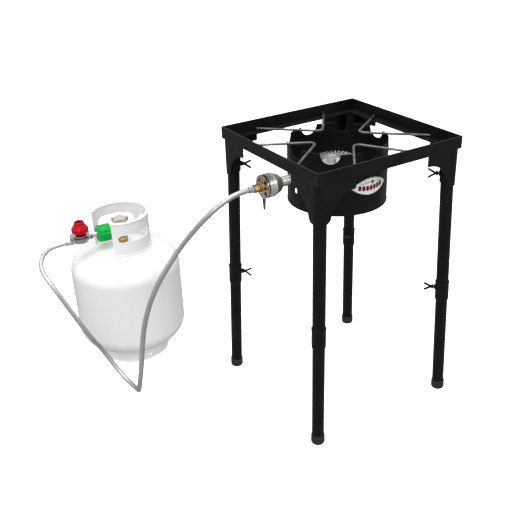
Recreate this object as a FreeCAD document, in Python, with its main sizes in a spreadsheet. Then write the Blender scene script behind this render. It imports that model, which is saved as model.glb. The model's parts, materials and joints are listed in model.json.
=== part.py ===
import FreeCAD, Part
import math
import os

import Sketcher

# A gas cooking set for outdoor brewing: a square burner stand on four two-part legs, a braided hose
# with an adjustable regulator, and the upright gas cylinder that feeds it. Millimetres, +Z up.
# Shapes are written from the stand's centre line and the floor; the finished pieces are then shifted
# so that the origin is the bottom centre of the whole set without its free hose.

V = FreeCAD.Vector
Rotation = FreeCAD.Rotation
Placement = FreeCAD.Placement

SIZES = {
    # top frame of angle iron
    "stand_width": 415,
    "stand_height": 722.5,
    "rail_leg": 30,
    "rail_wall": 3,
    # corner brackets and the sleeves that hold the legs
    "bracket_wing": 102.5,
    "bracket_bottom": 600,
    "bracket_edge": 25.5,
    "bracket_plate": 2.5,
    "bite_radius": 65,
    "leg_inset": 18.5,
    "lean_inset": 18.6,
    "leg_lean": 2.05,
    "sleeve_bottom": 608,
    "sleeve_height": 42,
    # legs
    "upper_radius": 15.75,
    "lower_radius": 15.3,
    "leg_wall": 1.5,
    "upper_bottom": 286,
    "coupling_bottom": 277,
    "coupling_top": 333,
    "coupling_radius": 17.5,
    "upper_screw_height": 628,
    "lower_screw_height": 315,
    "cap_radius": 17.3,
    "cap_height": 23,
    # wing screws
    "screw_radius": 3,
    "boss_radius": 6.5,
    "boss_reach": 20.5,
    # pot grate
    "grate_radius": 3,
    "grate_half_span": 106,
    "grate_end": 203,
    "grate_apex": 62,
    "grate_rise": 8,
    # wind guard
    "guard_radius": 124,
    "guard_wall": 1.5,
    "guard_bottom": 551.5,
    "guard_top": 705.3,
    "notch_radius": 24,
    "badge_half_width": 51,
    "badge_half_height": 20.5,
    "badge_height": 619,
    "badge_turn": 2.7,
    # burner
    "gas_height": 630,
    "tube_radius": 13,
    "tube_bore": 10.5,
    "bolt_radius": 3,
    "burner_x": -6,
    "cup_radius": 50,
    "cup_top": 656,
    "bell_radius": 29.2,
    "fitting_radius": 8,
    # hose
    "hose_radius": 6.5,
    "ferrule_radius": 8.5,
    # cylinder
    "tank_right": -409,
    "tank_back": 475,
    "tank_radius": 157,
    "tank_wall": 2.6,
    "tank_low": 100,
    "tank_high": 277,
    "head_crown": 283,
    "head_knuckle": 53,
    "neck_radius": 13,
    "collar_radius": 81,
    "collar_wall": 3,
    "collar_top": 446,
    "collar_opening": 87,
    "handhold_width": 106,
    "handhold_height": 38,
    "handhold_middle": 391,
    "low_hole_width": 99,
    "low_hole_height": 21,
    "low_hole_middle": 395.5,
    "back_hole_width": 66,
    "foot_radius": 98.6,
    "foot_wall": 3,
    # valve and regulator, measured outward from the cylinder's centre line
    "valve_turn": -5.5,
    "valve_height": 393,
    "outlet_height": 385,
    "outlet_radius": 16,
    "regulator_reach": 115.5,
    "regulator_radius": 22,
    "flange_radius": 32,
    "nut_radius": 25,
    "nut_near": 32,
    "nut_far": 71,
    "nipple_radius": 8,
    "stem_radius": 4,
    "wheel_radius": 25,
    # turning parts run with this much room all round
    "running_gap": 0.05,
}

# The hose's centre line: from the ferrule at the burner, down to the floor, up to the regulator.
HOSE_ROUTE = [
    (-256, 0, 630),
    (-289, 0, 630),
    (-330, 4, 612),
    (-362, 27, 576),
    (-383, 60, 531),
    (-405, 90, 484),
    (-432, 109, 434),
    (-455, 130, 383),
    (-474, 149, 325),
    (-489, 164, 261),
    (-498, 172, 201),
    (-508, 171, 140),
    (-522, 175, 60),
    (-503, 239, 8),
    (-519, 324, 21),
    (-551, 357, 98),
    (-577, 341, 148),
    (-602, 345, 204),
    (-627, 361, 265),
    (-649, 378, 321),
    (-662, 421, 352),
    (-654, 455, 368),
    (-633, 480, 379),
    (-600.9, 493.6, 385),
    (-566, 490.2, 385),
]

doc = FreeCAD.newDocument("GasCookingSet")
sheet = doc.addObject("Spreadsheet::Sheet", "Sizes")
finished = []


class Size:
    """A number together with the spreadsheet formula that it comes from."""

    def __init__(self, value, formula):
        self.value = float(value)
        self.formula = formula

    def __add__(self, other):
        return Size(self.value + number(other), f"({self.formula} + {formula(other)})")

    def __radd__(self, other):
        return Size(number(other) + self.value, f"({formula(other)} + {self.formula})")

    def __sub__(self, other):
        return Size(self.value - number(other), f"({self.formula} - {formula(other)})")

    def __rsub__(self, other):
        return Size(number(other) - self.value, f"({formula(other)} - {self.formula})")

    def __mul__(self, other):
        return Size(self.value * number(other), f"({self.formula} * {formula(other)})")

    def __rmul__(self, other):
        return self * other

    def __truediv__(self, other):
        return Size(self.value / number(other), f"({self.formula} / {formula(other)})")

    def __neg__(self):
        return Size(-self.value, f"(0 - {self.formula})")


def number(size):
    return size.value if isinstance(size, Size) else float(size)


def formula(size):
    return size.formula if isinstance(size, Size) else f"{size:.9g}"


def root(size):
    return Size(math.sqrt(size.value), f"sqrt({size.formula})")


def fill_sheet():
    for row, (alias, value) in enumerate(SIZES.items(), start=1):
        sheet.set(f"A{row}", alias)
        sheet.set(f"B{row}", str(value))
        sheet.setAlias(f"B{row}", alias)
    doc.recompute()


def cell(alias):
    return Size(SIZES[alias], f"Sizes.{alias}")


def bind(item, name, size):
    """Gives a property its value, and its formula where it has one."""
    if isinstance(size, Size):
        item.setExpression(name, size.formula)
    else:
        setattr(item, name, size)


# ---------------------------------------------------------------- sketches


def corner(point):
    return V(number(point[0]), number(point[1]), 0)


def arc_between(start, end, radius, clockwise):
    """The short arc from start to end; returns the curve and whether it runs from end to start."""
    chord = end - start
    height = math.sqrt(max(radius**2 - (chord.Length / 2) ** 2, 0))
    left = V(-chord.y, chord.x, 0).normalize()
    centre = (start + end) / 2 + left * (-height if clockwise else height)
    first, last = (end, start) if clockwise else (start, end)
    angles = [math.atan2(p.y - centre.y, p.x - centre.x) for p in (first, last)]
    circle = Part.Circle(centre, V(0, 0, 1), radius)
    return Part.ArcOfCircle(circle, angles[0], angles[1])


def fix_point(sketch, curve, end, point):
    for kind, size in zip(("DistanceX", "DistanceY"), point):
        index = sketch.addConstraint(
            Sketcher.Constraint(kind, -1, 1, curve, end, number(size))
        )
        if isinstance(size, Size):
            sketch.setExpression(f"Constraints[{index}]", size.formula)


def draw_outline(sketch, outline):
    """A closed outline. Each point is (x, y), or (x, y, radius, clockwise) where an arc leaves it."""
    count = len(outline)
    ends = []
    for i, point in enumerate(outline):
        start, end = corner(point), corner(outline[(i + 1) % count])
        if len(point) == 4:
            curve = arc_between(start, end, number(point[2]), point[3])
            index = sketch.addGeometry(curve, False)
            ends.append((index, 2, 1) if point[3] else (index, 1, 2))
            radius = sketch.addConstraint(
                Sketcher.Constraint("Radius", index, number(point[2]))
            )
            if isinstance(point[2], Size):
                sketch.setExpression(f"Constraints[{radius}]", point[2].formula)
        else:
            index = sketch.addGeometry(Part.LineSegment(start, end), False)
            ends.append((index, 1, 2))
    for i, (index, first, last) in enumerate(ends):
        following = ends[(i + 1) % count]
        sketch.addConstraint(
            Sketcher.Constraint("Coincident", index, last, following[0], following[1])
        )
        fix_point(sketch, index, first, outline[i][:2])


def draw_circle(sketch, x, y, radius):
    circle = Part.Circle(V(number(x), number(y), 0), V(0, 0, 1), number(radius))
    index = sketch.addGeometry(circle, False)
    size = sketch.addConstraint(Sketcher.Constraint("Radius", index, number(radius)))
    if isinstance(radius, Size):
        sketch.setExpression(f"Constraints[{size}]", radius.formula)
    fix_point(sketch, index, 3, (x, y))


def new_sketch(label, plane):
    body = doc.addObject("PartDesign::Body", label)
    body.Label = label
    sketch = body.newObject("Sketcher::SketchObject", label + "_sketch")
    origin = next(f for f in body.Origin.OriginFeatures if f.Role == plane)
    sketch.AttachmentSupport = [(origin, "")]
    sketch.MapMode = "FlatFace"
    return body, sketch


def plate(label, outline, thickness, holes=()):
    """An outline in the XY plane raised along +Z, with round holes (x, y, radius)."""
    body, sketch = new_sketch(label, "XY_Plane")
    draw_outline(sketch, outline)
    for hole in holes:
        draw_circle(sketch, *hole)
    pad = body.newObject("PartDesign::Pad", label + "_pad")
    pad.Profile = sketch
    bind(pad, "Length", thickness)
    return body


def turned(label, outline, angle=360):
    """An outline of (radius, height) points turned about the Z axis, from +X towards +Y."""
    body, sketch = new_sketch(label, "XZ_Plane")
    draw_outline(sketch, outline)
    turn = body.newObject("PartDesign::Revolution", label + "_turn")
    turn.Profile = sketch
    turn.ReferenceAxis = (sketch, ["V_Axis"])
    bind(turn, "Angle", angle)
    return body


# ---------------------------------------------------------------- solids and booleans


def place(item, x=0, y=0, z=0, rotation=None):
    item.Placement = Placement(
        V(number(x), number(y), number(z)), rotation or Rotation()
    )
    for axis, size in zip("xyz", (x, y, z)):
        if isinstance(size, Size):
            item.setExpression(f"Placement.Base.{axis}", size.formula)
    return item


def rod(label, radius, length):
    item = doc.addObject("Part::Cylinder", label)
    bind(item, "Radius", radius)
    bind(item, "Height", length)
    return item


def block(label, length, width, height):
    item = doc.addObject("Part::Box", label)
    bind(item, "Length", length)
    bind(item, "Width", width)
    bind(item, "Height", height)
    return item


def together(kind, label, pieces):
    if len(pieces) == 1:
        return pieces[0]
    item = doc.addObject(kind, label)
    if kind == "Part::Compound":
        item.Links = list(pieces)
    else:
        item.Shapes = list(pieces)
    return item


def fuse(label, *pieces):
    return together("Part::MultiFuse", label, pieces)


def cut(label, base, *tools):
    item = doc.addObject("Part::Cut", label)
    item.Base = base
    item.Tool = together("Part::Compound", label + "_tools", tools)
    return item


def common(label, base, tool):
    item = doc.addObject("Part::Common", label)
    item.Base = base
    item.Tool = tool
    return item


def polygon(sides, across_flats):
    """A regular polygon's corners, from the distance across its flats."""
    reach = 1 / math.cos(math.pi / sides)
    step = 2 * math.pi / sides
    return [
        (
            across_flats * (reach / 2 * math.cos(step * (i + 0.5))),
            across_flats * (reach / 2 * math.sin(step * (i + 0.5))),
        )
        for i in range(sides)
    ]


def slot_outline(width, height):
    """A slot with round ends, centred on the origin, longer along X."""
    end = (width - height) / 2
    half = height / 2
    return [
        (-end, -half),
        (end, -half, half, False),
        (end + half, 0, half, False),
        (end, half),
        (-end, half, half, False),
        (-end - half, 0, half, False),
    ]


def keep(item, label, placement):
    """Registers a finished sub-part and moves it to its place in the set."""
    item.Label = label
    finished.append((item, label, placement))
    return item


ALONG_X = Rotation(V(1, 1, 1), 120)  # local X, Y, Z become Y, Z, X
UPRIGHT = Rotation(V(1, 0, 0), 90)  # local X, Y, Z become X, Z, -Y
TO_LEFT = Rotation(V(0, 0, 1), V(-1, 0, 0))  # local Z becomes -X


def about_z(degrees):
    return Rotation(V(0, 0, 1), degrees)


# ---------------------------------------------------------------- the places of the groups


def leg_place():
    """Puts a piece made round a leg's own axis into the stand: local X points at the stand's centre.

    The legs lean outward, so the axis is lean_inset from both rails at the brackets' lower edge
    and further out on the floor.
    """
    pivot = SIZES["lean_inset"] - SIZES["stand_width"] / 2
    height = SIZES["bracket_bottom"]
    lean = Rotation(V(-1, 1, 0), SIZES["leg_lean"])
    base = V(pivot, pivot, height) - lean.multVec(V(0, 0, height))
    return Placement(base, lean * about_z(45))


def foot_reach():
    """How far the foot caps reach from the stand's centre line, along X or Y."""
    widest_height = 3
    middle = leg_place().multVec(V(0, 0, widest_height))
    return -middle.x + SIZES["cap_radius"]


def stand_centre():
    """The stand's centre line, measured from the bottom centre of the whole set."""
    x = -(foot_reach() + SIZES["tank_right"] - SIZES["tank_radius"]) / 2
    y = (foot_reach() - SIZES["tank_back"] - SIZES["tank_radius"]) / 2
    return V(x, y, 0)


def stand_place(quarter_turns=0):
    return Placement(stand_centre(), about_z(90 * quarter_turns))


def tank_place(turn=0.0):
    offset = V(number(cell("tank_right")), number(cell("tank_back")), 0)
    return Placement(stand_centre() + offset, about_z(turn))


# ---------------------------------------------------------------- stand


def rail(side):
    half = cell("stand_width") / 2
    leg, wall = cell("rail_leg"), cell("rail_wall")
    bottom = cell("stand_height") - leg
    section = [
        (-half, bottom),
        (leg - half, bottom),
        (leg - half, bottom + wall),
        (wall - half, bottom + wall),
        (wall - half, bottom + leg),
        (-half, bottom + leg),
    ]
    bar = place(plate(f"rail_bar_{side}", section, half * 2), x=-half, rotation=ALONG_X)
    mitres = []
    for end, sign in (("left", -1), ("right", 1)):
        triangle = [
            (half * sign, -half),
            (half * sign, leg + 1 - half),
            ((half - leg - 1) * sign, leg + 1 - half),
        ]
        mitre = plate(f"rail_mitre_{end}_{side}", triangle, leg + 2)
        mitres.append(place(mitre, z=bottom - 1))
    keep(cut(f"rail_cut_{side}", bar, *mitres), f"rail_{side}", stand_place(side))


def bracket(corner_index):
    """A plate bent round the leg, with a round bite out of the lower edge of each wing."""
    half = cell("stand_width") / 2
    wing, wall, bend = cell("bracket_wing"), cell("bracket_plate"), cell("leg_inset")
    inner = bend - wall
    bottom = cell("bracket_bottom")
    top = cell("stand_height") - cell("rail_leg")
    outline = [
        (wing, 0),
        (bend, 0, bend, True),
        (0, bend),
        (0, wing),
        (wall, wing),
        (wall, bend, inner, False),
        (bend, wall),
        (wing, wall),
    ]
    sheet_metal = plate(f"bracket_plate_{corner_index}", outline, top - bottom)
    place(sheet_metal, x=-half, y=-half, z=bottom)
    radius = cell("bite_radius")
    centre = wing - 2.5
    edge = top - cell("bracket_edge")
    tab = centre - root(radius * radius - 13 * 13)
    bite_outline = [
        (tab - 16, bottom - 1),
        (tab - 16, bottom, 15.7, False),
        (tab, edge - radius + 13, radius, True),
        (centre, edge),
        (wing + 1, edge),
        (wing + 1, bottom - 1),
    ]
    bites = []
    for wing_index, rotation in enumerate((UPRIGHT, ALONG_X)):
        bite = plate(f"bite_{wing_index}_{corner_index}", bite_outline, 10)
        if wing_index == 0:
            place(bite, x=-half, y=5 - half, rotation=rotation)
        else:
            place(bite, x=-half - 5, y=-half, rotation=rotation)
        bites.append(bite)
    item = cut(f"bracket_cut_{corner_index}", sheet_metal, *bites)
    keep(item, f"corner_bracket_{corner_index}", stand_place(corner_index))


def across_leg(item, reach, height):
    """Lays a piece along the line from a leg's axis towards the stand's centre."""
    return place(item, x=reach, z=height, rotation=Rotation(V(0, 1, 0), 90))


def screw_hole(name, height):
    hole = rod(name, cell("screw_radius") + cell("running_gap"), 16)
    return across_leg(hole, cell("boss_reach") - 15, height)


def screw_boss(name, height):
    start = cell("coupling_radius") - 0.3
    boss = rod(name, cell("boss_radius"), cell("boss_reach") - start)
    return across_leg(boss, start, height)


def sleeve(corner_index):
    """The inner half of a leg's socket, welded between the bracket's wings, with a threaded boss."""
    outer = cell("leg_inset")
    inner = outer - cell("bracket_plate")
    low = cell("sleeve_bottom")
    high = low + cell("sleeve_height")
    wall = turned(
        f"sleeve_wall_{corner_index}",
        [(inner, low), (outer, low), (outer, high), (inner, high)],
        210,
    )
    place(wall, rotation=about_z(-105))
    boss = screw_boss(f"sleeve_boss_{corner_index}", cell("upper_screw_height"))
    solid = fuse(f"sleeve_solid_{corner_index}", wall, boss)
    hole = screw_hole(f"sleeve_hole_{corner_index}", cell("upper_screw_height"))
    item = cut(f"sleeve_cut_{corner_index}", solid, hole)
    keep(item, f"leg_sleeve_{corner_index}", stand_place(corner_index) * leg_place())


def upper_leg(corner_index):
    outer = cell("upper_radius")
    inner = outer - cell("leg_wall")
    low = cell("upper_bottom")
    high = cell("stand_height") - cell("rail_leg") - 1.3
    item = turned(
        f"upper_tube_{corner_index}",
        [(inner, low), (outer, low), (outer, high), (inner, high)],
    )
    keep(item, f"upper_leg_{corner_index}", stand_place(corner_index) * leg_place())


def lower_leg(corner_index):
    """A tube whose widened top takes the upper leg and carries a boss for its wing screw."""
    outer, wide = cell("lower_radius"), cell("coupling_radius")
    wall = cell("leg_wall")
    low, high = cell("coupling_bottom"), cell("coupling_top")
    profile = [
        (outer - wall, 4),
        (outer, 4),
        (outer, low - 1),
        (wide, low + 6),
        (wide, high - 4.5),
        (wide + 0.8, high - 3.5),
        (wide + 0.8, high - 0.8),
        (wide, high),
        (wide - wall, high),
        (wide - wall, low + 8),
        (outer - wall, low),
    ]
    tube = turned(f"lower_tube_{corner_index}", profile)
    boss = screw_boss(f"lower_boss_{corner_index}", cell("lower_screw_height"))
    solid = fuse(f"lower_solid_{corner_index}", tube, boss)
    hole = screw_hole(f"lower_hole_{corner_index}", cell("lower_screw_height"))
    item = cut(f"lower_cut_{corner_index}", solid, hole)
    keep(item, f"lower_leg_{corner_index}", stand_place(corner_index) * leg_place())


def foot_cap(corner_index):
    """A cup over the end of the leg. Its underside is level, so it stands flat on the floor."""
    outer, high = cell("cap_radius"), cell("cap_height")
    inner = cell("lower_radius")
    profile = [
        (0, -1),
        (outer - 2, -1),
        (outer, 3),
        (outer, high - 1),
        (outer - 1, high),
        (inner, high),
        (inner, 4),
        (0, 4),
    ]
    cup = turned(f"cap_{corner_index}", profile)
    under = block(f"cap_under_{corner_index}", 1000, 1000, 5)
    under.Placement = leg_place().inverse() * Placement(V(-500, -500, -5), Rotation())
    item = cut(f"cap_cut_{corner_index}", cup, under)
    keep(item, f"foot_cap_{corner_index}", stand_place(corner_index) * leg_place())


def wing_screw(name, corner_index, height, roll):
    """A screw with a conical hub and two slim wings, pointing at the leg's centre line."""
    tip = cell("upper_radius") + 0.3
    hub = cell("boss_reach") + 1
    shaft = rod(f"{name}_shaft", cell("screw_radius"), hub - tip + 1)
    hub_profile = [(0, 0), (7, 0), (3, 10), (0, 10)]
    cone = place(turned(f"{name}_hub", hub_profile), z=hub - tip)
    wings = []
    for side, lean in (("low", -1), ("high", 1)):
        wing = plate(f"{name}_wing_{side}", slot_outline(21, 5), 3.4)
        turn = Rotation(V(0, 1, 0), -90) * Rotation(V(0, 0, 1), 30 * lean)
        place(wing, 1.7, 5.6 * lean, hub - tip + 15.5, turn)
        wings.append(wing)
    screw = fuse(f"{name}_solid", shaft, cone, *wings)
    turn = Rotation(V(0, 1, 0), 90) * about_z(roll)
    seat = Placement(V(number(tip), 0, number(height)), turn)
    keep(screw, f"{name}_{corner_index}", stand_place(corner_index) * leg_place() * seat)


def wire_route():
    """The front wire's centre line: an end on the rail's ledge, the raised point, the other end."""
    ledge = SIZES["stand_height"] - SIZES["rail_leg"] + SIZES["rail_wall"] + SIZES["grate_radius"]
    span, end, apex = SIZES["grate_half_span"], SIZES["grate_end"], SIZES["grate_apex"]
    point = V(0, -apex, ledge + SIZES["grate_rise"])
    return [V(-span, -end, ledge), point, V(span, -end, ledge)]


def grate_wire(side):
    """A bent rod lying on one rail's ledge, its point raised towards the middle of the stand."""
    item = doc.addObject("Part::Feature", f"wire_{side}")
    item.Shape = tube_along(wire_route(), SIZES["grate_radius"], bend=14)
    keep(item, f"grate_wire_{side}", stand_place(side))


def wire_crossing():
    """Where the front wire's right arm passes over the wind guard's wall."""
    _, point, end = wire_route()
    low, high = 0.0, 1.0
    while high - low > 1e-6:
        middle = (low + high) / 2
        here = point + (end - point) * middle
        if math.hypot(here.x, here.y) < SIZES["guard_radius"] - SIZES["guard_wall"] / 2:
            low = middle
        else:
            high = middle
    return here, end - point


# ---------------------------------------------------------------- tubes along a route


def bend_radii(route):
    """The largest radius that each corner of a route has room for."""
    radii = []
    for before, at, after in zip(route, route[1:], route[2:]):
        shorter = min((at - before).Length, (after - at).Length)
        half_turn = (at - before).getAngle(after - at) / 2
        radii.append(0.45 * shorter / math.tan(half_turn))
    return radii


def tube_along(route, radius, bend=None):
    """A round rod along straight runs that tangent arcs join."""
    radii = [bend] * (len(route) - 2) if bend else bend_radii(route)
    edges = []
    start = route[0]
    for i, arc_radius in enumerate(radii, start=1):
        towards = (route[i] - route[i - 1]).normalize()
        away = (route[i + 1] - route[i]).normalize()
        half_turn = towards.getAngle(away) / 2
        reach = arc_radius * math.tan(half_turn)
        first = route[i] - towards * reach
        last = route[i] + away * reach
        inward = (away - towards).normalize()
        depth = arc_radius / math.cos(half_turn) - arc_radius
        edges.append(Part.LineSegment(start, first).toShape())
        edges.append(Part.Arc(first, route[i] + inward * depth, last).toShape())
        start = last
    edges.append(Part.LineSegment(start, route[-1]).toShape())
    path = Part.Wire(edges)
    ring = Part.Wire(Part.makeCircle(radius, route[0], route[1] - route[0]))
    solid = path.makePipeShell([ring], True, False)
    expected = math.pi * radius**2 * path.Length
    if abs(solid.Volume - expected) > 0.01 * expected:
        raise ValueError(f"tube volume {solid.Volume:.0f}, expected {expected:.0f}")
    return solid


# ---------------------------------------------------------------- wind guard and burner


def wire_slots():
    """Slots in the wind guard's rim that the grate's wires pass through."""
    width = 2 * SIZES["grate_radius"] + 0.6
    crossing, direction = wire_crossing()
    heading = math.degrees(math.atan2(direction.y, direction.x))
    slots = []
    for side in range(4):
        for arm in (1, -1):
            turn = about_z(90 * side) * about_z(heading if arm > 0 else 180 - heading)
            middle = about_z(90 * side).multVec(V(arm * crossing.x, crossing.y, crossing.z))
            corner_point = middle - turn.multVec(V(7, width / 2, width / 2))
            slot = block(f"guard_slot_{side}_{'right' if arm > 0 else 'left'}", 14, width, 20)
            slots.append(place(slot, corner_point.x, corner_point.y, corner_point.z, turn))
    return slots


def wind_guard():
    """A round wall with a turned lip below and eight half-round notches in its rim."""
    outer = cell("guard_radius")
    low, high = cell("guard_bottom"), cell("guard_top")
    wall = cell("guard_wall")
    shell = turned(
        "guard_shell",
        [
            (outer - wall, low + 3),
            (outer - wall, low),
            (outer + 1, low),
            (outer + 1, low + 3),
            (outer, low + 4),
            (outer, high),
            (outer - wall, high),
        ],
    )
    tools = []
    for i in range(8):
        angle = math.radians(45 * i)
        notch = rod(f"guard_notch_{i}", cell("notch_radius"), 20)
        turn = Rotation(V(0, 0, 1), V(math.cos(angle), math.sin(angle), 0))
        start = outer - 10
        place(notch, start * math.cos(angle), start * math.sin(angle), high, turn)
        tools.append(notch)
    tools += wire_slots()
    tube_hole = rod("guard_tube_hole", cell("tube_radius") + 1.5, 20)
    tools.append(place(tube_hole, x=10 - outer, z=cell("gas_height"), rotation=TO_LEFT))
    light = plate("guard_light_hole", slot_outline(14, 9), 20)
    turn = Rotation(V(0, 1, 0), -90)
    tools.append(place(light, x=10 - outer, z=597, rotation=turn))
    keep(cut("guard_cut", shell, *tools), "wind_guard", stand_place())


def badge():
    """A leaf-shaped plate that follows the front of the wind guard."""
    wide, high = cell("badge_half_width"), cell("badge_half_height")
    arc = (wide * wide + high * high) / (2 * high)
    leaf = plate(
        "badge_leaf",
        [(-wide, 0, arc, False), (0, -high, arc, False), (wide, 0, arc, False), (0, high, arc, False)],
        30,
    )
    place(leaf, y=-100, z=cell("badge_height"), rotation=UPRIGHT)
    inner = cell("guard_radius")
    band_low = cell("badge_height") - high - 1
    band = [(inner, 0), (inner + 1.2, 0), (inner + 1.2, 2 * high + 2), (inner, 2 * high + 2)]
    skin = place(turned("badge_skin", band), z=band_low)
    turn = Placement(V(0, 0, 0), about_z(SIZES["badge_turn"]))
    keep(common("badge_common", leaf, skin), "badge", stand_place() * turn)


def burner_place():
    """The burner sits a little nearer the gas inlet than the stand's middle."""
    return stand_place() * Placement(V(SIZES["burner_x"], 0, 0), Rotation())


def burner_cup():
    """The cast burner head: a bowl with a toothed rim, bored for the mixing tube."""
    outer, top = cell("cup_radius"), cell("cup_top")
    profile = [
        (0, top - 58),
        (20, top - 58),
        (34, top - 52),
        (46, top - 34),
        (outer, top - 16),
        (outer, top),
        (outer - 9, top),
        (outer - 9, top - 12),
        (outer - 6, top - 16),
        (outer - 12, top - 32),
        (18, top - 44),
        (0, top - 44),
    ]
    bowl = turned("cup_bowl", profile)
    teeth = 30
    tools = []
    for i in range(teeth):
        angle = 360 / teeth * i
        gap = block(f"cup_gap_{i}", 16, 5, 8)
        reach = number(outer) - 12
        turn = about_z(angle)
        corner_point = turn.multVec(V(reach, -2.5, 0))
        tools.append(place(gap, corner_point.x, corner_point.y, top - 5, turn))
    bore = rod("cup_bore", cell("tube_radius"), 30)
    tools.append(place(bore, x=-32, z=cell("gas_height"), rotation=TO_LEFT))
    tools.append(place(rod("cup_bolt_hole", cell("bolt_radius"), 32), z=top - 72))
    keep(cut("cup_cut", bowl, *tools), "burner_cup", burner_place())


def burner_strap():
    """A flat bar across the guard that the burner is bolted to."""
    under = cell("cup_top") - 58
    outline = [(-12, -120.9), (12, -120.9), (12, 120.9), (-12, 120.9)]
    hole = (0, 0, cell("bolt_radius"))
    strap = place(plate("strap_plate", outline, 3, [hole]), z=under - 3)
    keep(strap, "burner_strap", burner_place())


def burner_bolt():
    """A long screw up through the strap and the burner's floor."""
    under = cell("cup_top") - 58
    head = place(plate("bolt_head", polygon(6, 10), 4.5), z=under - 7.5)
    shank = place(rod("bolt_shank", cell("bolt_radius"), 59), z=under - 4)
    keep(fuse("bolt_solid", head, shank), "burner_bolt", burner_place())


def burner_nut():
    """The nut that clamps the burner's floor."""
    hole = (0, 0, cell("bolt_radius"))
    nut = place(plate("burner_nut_plate", polygon(6, 10), 5, [hole]), z=cell("cup_top") - 44)
    keep(nut, "burner_nut", burner_place())


def mixing_tube():
    """The cast tube from the burner through the guard to the bell mouth that draws in air."""
    outer, bore, bell = cell("tube_radius"), cell("tube_bore"), cell("bell_radius")
    start = 38 - cell("burner_x")
    profile = [
        (bore, start),
        (outer, start),
        (outer, 168),
        (18, 172),
        (22, 176),
        (bell - 1.5, 190),
        (bell, 193),
        (bell, 212),
        (bell - 2, 212),
        (bell - 2, 196),
        (20, 180),
        (bore, 172),
    ]
    tube = place(turned("mixing_turned", profile), z=cell("gas_height"), rotation=TO_LEFT)
    bridge = block("mixing_bridge", 5, 2 * bell - 2, 12)
    place(bridge, x=-208, y=1 - bell, z=cell("gas_height") - 6)
    solid = fuse("mixing_solid", tube, bridge)
    hole = rod("mixing_hole", cell("fitting_radius"), 10)
    place(hole, x=-200, z=cell("gas_height"), rotation=TO_LEFT)
    keep(cut("mixing_cut", solid, hole), "mixing_tube", stand_place())


def air_shutter():
    """A disc with four air holes that turns on the orifice fitting in front of the bell."""
    radius = cell("bell_radius")
    bore = cell("fitting_radius") + cell("running_gap")
    disc = [(bore, 0), (radius, 0), (radius, 2.5), (bore, 2.5)]
    blank = place(turned("shutter_disc", disc), x=-216, z=cell("gas_height"), rotation=TO_LEFT)
    tools = []
    for i in range(4):
        angle = math.radians(45 + 90 * i)
        hole = rod(f"shutter_hole_{i}", 6, 6)
        height = cell("gas_height") + 20 * math.sin(angle)
        tools.append(place(hole, -214, 20 * math.cos(angle), height, TO_LEFT))
    keep(cut("shutter_cut", blank, *tools), "air_shutter", stand_place())


def shutter_lever():
    """A tapered tab on the back of the shutter, used to turn it."""
    outline = [(-7, -14), (-7, -28), (-3, -58), (0, -60.5), (3, -58), (7, -28), (7, -14)]
    lever = plate("lever_plate", outline, 2.5)
    place(lever, x=-216, z=cell("gas_height"), rotation=ALONG_X)
    keep(lever, "shutter_lever", stand_place())


def turned_fitting(name, profile, hexagon, reach, x_start, placement):
    """A turned fitting pointing along -X with a hexagon on it."""
    stem = place(turned(name + "_stem", profile), x=-x_start, z=reach, rotation=TO_LEFT)
    flats, length, start = hexagon
    nut = plate(name + "_hex", polygon(6, flats), length)
    place(nut, x=-x_start - start, z=reach, rotation=TO_LEFT)
    return keep(fuse(name + "_solid", stem, nut), name, placement)


def orifice_fitting():
    radius = cell("fitting_radius")
    profile = [(0, 0), (3, 0), (5, 10), (radius, 10), (radius, 28), (6.5, 28), (6.5, 44), (0, 44)]
    turned_fitting(
        "orifice_fitting", profile, (19, 8, 28), cell("gas_height"), 194, stand_place()
    )


def flare_nut():
    profile = [(6.5, 0), (8, 0), (8, 10), (6.5, 10)]
    stem = turned("flare_ring", profile)
    place(stem, x=-230, z=cell("gas_height"), rotation=TO_LEFT)
    blank = plate("flare_hex", polygon(6, 18), 12.5, [(0, 0, 6.5)])
    place(blank, x=-230.5, z=cell("gas_height"), rotation=TO_LEFT)
    keep(fuse("flare_solid", stem, blank), "flare_nut", stand_place())


# ---------------------------------------------------------------- hose


def ferrule(label, start, direction):
    """A crimped sleeve ending face to face with the hose."""
    radius = cell("ferrule_radius")
    length = (V(*start[1]) - V(*start[0])).Length
    profile = [
        (0, 0),
        (radius - 1, 0),
        (radius, 1),
        (radius, length * 0.35),
        (radius - 0.8, length * 0.4),
        (radius - 0.8, length * 0.6),
        (radius, length * 0.65),
        (radius, length - 1),
        (radius - 1, length),
        (0, length),
    ]
    item = turned(label + "_turned", profile)
    seat = Placement(V(*start[0]), Rotation(V(0, 0, 1), direction))
    keep(item, label, stand_place() * seat)


def hose():
    route = [V(*point) for point in HOSE_ROUTE]
    print("hose bend radii", [round(radius) for radius in bend_radii(route)])
    item = doc.addObject("Part::Feature", "braided_hose")
    item.Shape = tube_along(route, number(cell("hose_radius")))
    length = item.Shape.Volume / (math.pi * number(cell("hose_radius")) ** 2)
    print(f"hose length {length:.0f} mm, lowest point {item.Shape.BoundBox.ZMin:.2f}")
    keep(item, "hose", stand_place())


def hose_ends():
    first, last = V(*HOSE_ROUTE[0]), V(*HOSE_ROUTE[-1])
    ferrule("hose_ferrule_burner", ((-243, 0, 630), tuple(first)), V(-1, 0, 0))
    outward = about_z(SIZES["valve_turn"]).multVec(V(-1, 0, 0))
    inner = last - outward * 14
    ferrule("hose_ferrule_regulator", (tuple(inner), tuple(last)), outward)


# ---------------------------------------------------------------- cylinder


def head_profile(wall, high, sign):
    """Crown and knuckle points of a dished head: (axis height, tangent point)."""
    radius, crown, knuckle = cell("tank_radius"), cell("head_crown"), cell("head_knuckle")
    side = radius - knuckle
    rise = root((crown - knuckle) * (crown - knuckle) - side * side)
    centre = high - rise * sign
    share = (crown - wall) / (crown - knuckle)
    tangent = (side * share, centre + rise * share * sign)
    return centre, tangent


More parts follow.
